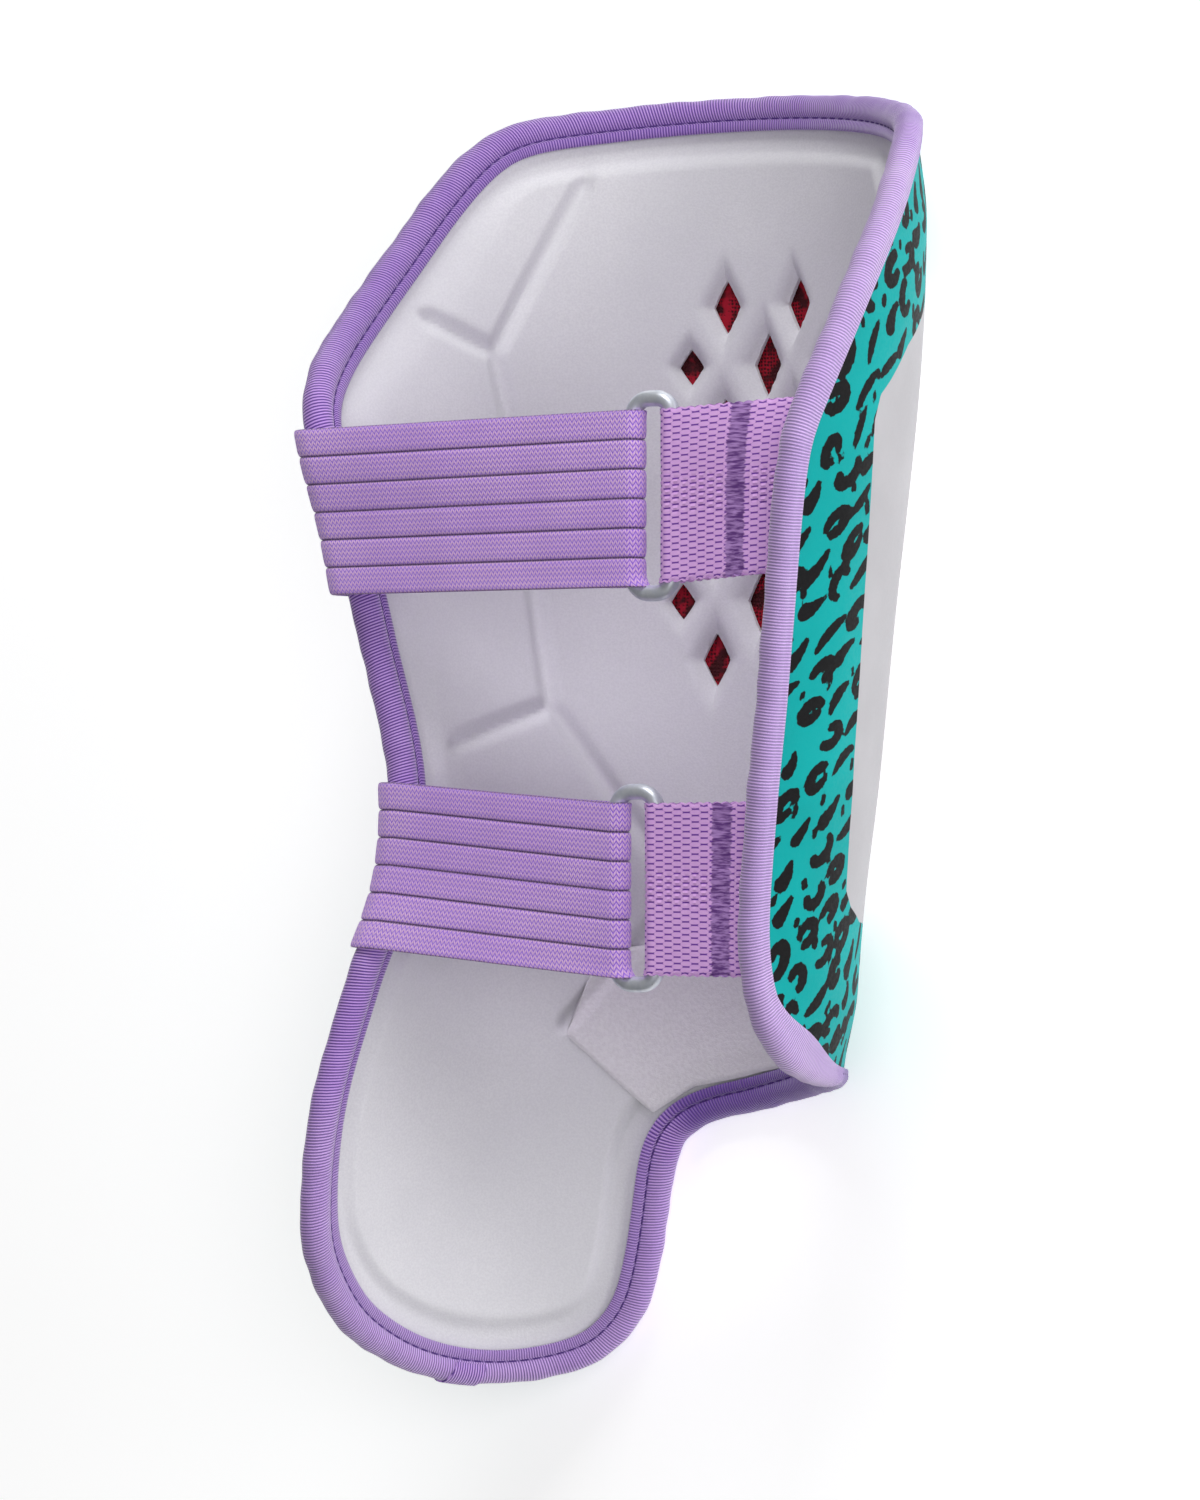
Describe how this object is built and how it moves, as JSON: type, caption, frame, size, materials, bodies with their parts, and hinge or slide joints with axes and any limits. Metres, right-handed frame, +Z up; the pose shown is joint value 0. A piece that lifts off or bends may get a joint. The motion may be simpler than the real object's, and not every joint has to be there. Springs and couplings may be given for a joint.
{
  "type": "batter's leg guard",
  "caption": "Padded wrap-round shin guard with an ankle flap, bound edge and vented liner, closed by ribbed elastic straps that fold through metal rings held by webbing loops.",
  "frame": {"origin": "on the ground, under the middle of the guard's box as it lies on its front", "axes": "+Y towards the guard's top edge, +Z up out of the open back, +X towards the side that carries the rings"},
  "size_m": [0.1874, 0.3882, 0.1283],
  "materials": {
    "outer_shell": "printed, satin",
    "liner": "smooth moulded cloth over foam",
    "vent_mesh": "open mesh",
    "edge_binding": "ribbed tape",
    "ankle_patch": "brushed",
    "elastic": "ribbed knit elastic",
    "webbing": "coarse weave",
    "ring": "satin"
  },
  "bodies": {
    "root": {"outer_shell": "outer_shell", "liner": "liner", "vent_mesh": "vent_mesh", "edge_binding": "edge_binding", "ankle_patch": "ankle_patch", "upper_elastic_strap": "elastic", "upper_webbing_loop": "webbing", "upper_ring": "ring", "lower_elastic_strap": "elastic", "lower_webbing_loop": "webbing", "lower_ring": "ring"}
  },
  "joints": []
}
